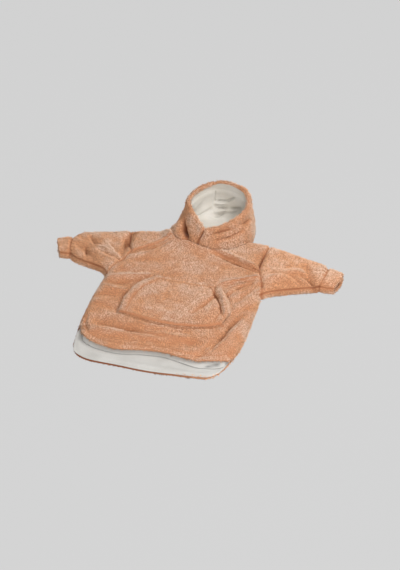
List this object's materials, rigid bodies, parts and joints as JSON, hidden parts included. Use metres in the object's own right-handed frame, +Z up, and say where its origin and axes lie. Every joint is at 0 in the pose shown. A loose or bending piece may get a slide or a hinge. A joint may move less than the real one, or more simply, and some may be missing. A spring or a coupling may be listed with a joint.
{
  "type": "wearable blanket",
  "caption": "Hooded wearable blanket in thick pile cloth, laid flat and face up, with long sleeves, gathered cuffs, a pouch pocket and a longer lined back.",
  "frame": {"origin": "on the surface the garment lies on, midway between the underarms, under the back panel's flat face", "axes": "+Z up from the surface, +Y from the hem to the hood, +X to the side on the right when the hood is at the top and the front faces up"},
  "size_m": [1.0628, 1.013, 0.1669],
  "materials": {
    "pile": "curly peach pile, matt",
    "lining": "cream terry, matt"
  },
  "bodies": {
    "root": {"back_body": "pile", "front_body": "pile", "sleeve_left": "pile", "sleeve_right": "pile", "cuff_left": "pile", "cuff_right": "pile", "hood_left": "pile", "hood_right": "pile", "pocket": "pile", "back_lining": "lining", "front_lining": "lining", "hood_lining_left": "lining", "hood_lining_right": "lining"}
  },
  "joints": []
}
